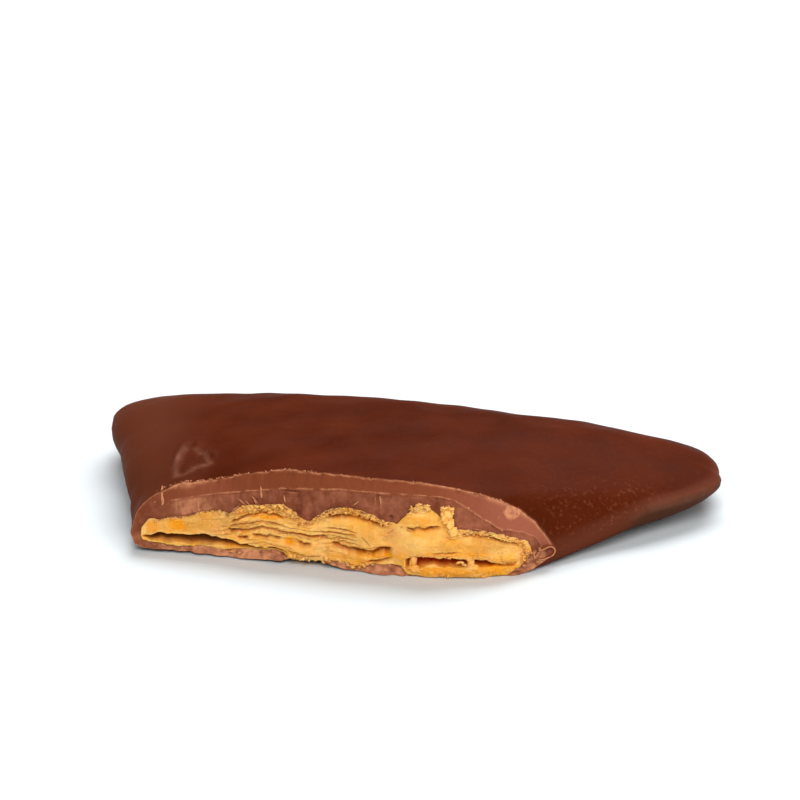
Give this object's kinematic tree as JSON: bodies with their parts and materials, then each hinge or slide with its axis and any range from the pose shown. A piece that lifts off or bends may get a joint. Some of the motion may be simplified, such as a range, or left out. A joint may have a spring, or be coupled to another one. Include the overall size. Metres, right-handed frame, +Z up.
{
  "type": "chocolate-coated flaky florentine cookie",
  "caption": "Broken half of a flat chocolate-coated florentine cookie, resting on its underside with the golden, flaky layered filling showing at the broken face.",
  "frame": {"origin": "centre of the bounding box, on the surface the cookie rests on", "axes": "+X to the right along the broken face as seen from the front, the cookie's longest extent; -Y out of the broken face; +Z up, the shortest extent"},
  "size_m": [0.0676, 0.0474, 0.0096],
  "materials": {
    "milk_chocolate": "satin",
    "golden_flakes": "matte"
  },
  "bodies": {
    "root": {"chocolate_coating": "milk_chocolate", "flaky_filling": "golden_flakes"}
  },
  "joints": []
}
